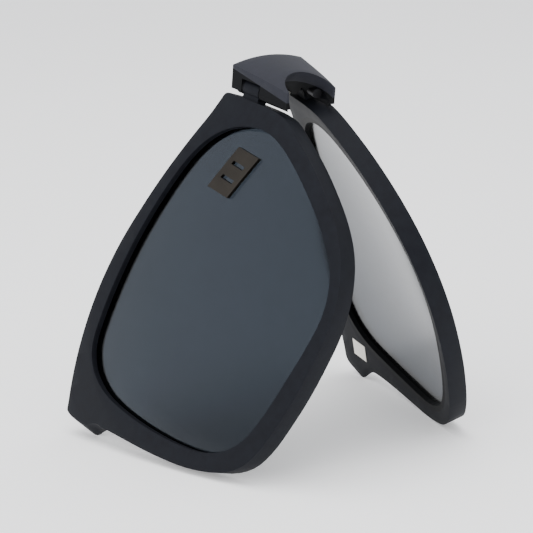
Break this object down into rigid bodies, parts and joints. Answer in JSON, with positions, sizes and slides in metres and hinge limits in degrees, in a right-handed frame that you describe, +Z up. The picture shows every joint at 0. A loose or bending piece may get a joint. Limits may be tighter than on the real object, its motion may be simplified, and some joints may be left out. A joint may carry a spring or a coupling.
{
  "type": "clip-on folding lenses",
  "caption": "Clip-on sun lenses: two rimmed tinted lenses folded like a tent on splayed hinge pins under a short bridge, with magnets on the ear tabs.",
  "frame": {"origin": "centre of the bounding box on the floor the clip stands on", "axes": "+Z up from the floor and out of the bridge's worn front; +Y along the bridge towards its worn top; -X towards the wearer's right rim"},
  "size_m": [0.057, 0.049, 0.0589],
  "materials": {
    "cover": "satin, soft grey black",
    "core": "satin black",
    "rim": "matte soft-touch black",
    "ring": "satin black",
    "lens": "polished smoke grey",
    "magnet": "nickel plated",
    "pin": "turned steel",
    "washer": "plain black",
    "badge": "dark gunmetal plate"
  },
  "bodies": {
    "bridge": {"bridge_cover": "cover", "bridge_core": "core", "bridge_magnet": "magnet", "right_hinge_pin": "pin", "left_hinge_pin": "pin", "right_washers": "washer", "left_washers": "washer"},
    "right_frame": {"right_rim": "rim", "right_lens": "lens", "right_lens_ring": "ring", "right_ear_magnet": "magnet", "lens_badge": "badge"},
    "left_frame": {"left_rim": "rim", "left_lens": "lens", "left_lens_ring": "ring", "left_ear_magnet": "magnet"}
  },
  "joints": [
    {"name": "right_rim_fold", "type": "hinge", "parent": "bridge", "child": "right_frame", "pos_m": [-0.00429, 0.00274, 0.05424], "axis": [-0.1478, 0.9717, 0.1842], "range_deg": [-14, 64]},
    {"name": "left_rim_fold", "type": "hinge", "parent": "bridge", "child": "left_frame", "pos_m": [0.00429, 0.00274, 0.05424], "axis": [-0.1478, -0.9717, -0.1842], "range_deg": [-14, 64]}
  ]
}
